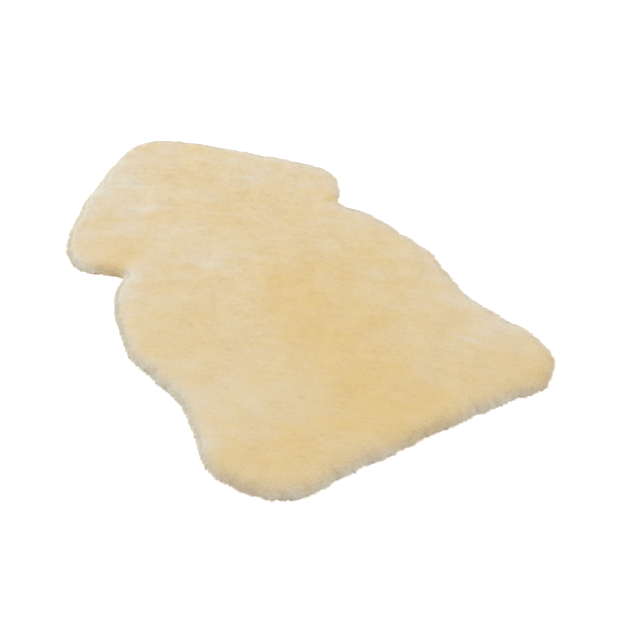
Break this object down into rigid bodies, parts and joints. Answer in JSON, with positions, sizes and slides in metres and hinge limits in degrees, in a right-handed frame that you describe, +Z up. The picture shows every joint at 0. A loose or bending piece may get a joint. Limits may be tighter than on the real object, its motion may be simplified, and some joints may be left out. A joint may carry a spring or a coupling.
{
  "type": "sheepskin rug",
  "caption": "Flat sheepskin rug in the natural outline of the hide, with dense sheared wool on top and plain suede underneath.",
  "frame": {"origin": "on the floor under the middle of the rug's bounding box", "axes": "+Y along the backbone towards the neck, +X to the right seen from above with the neck away, +Z up out of the wool"},
  "size_m": [0.5702, 1.001, 0.0329],
  "materials": {
    "wool": "dense cream-yellow wool, sheared level, matt with a soft sheen",
    "suede": "tanned flesh side of the hide, matt pale tan suede"
  },
  "bodies": {
    "root": {"sheepskin": "wool"}
  },
  "joints": []
}
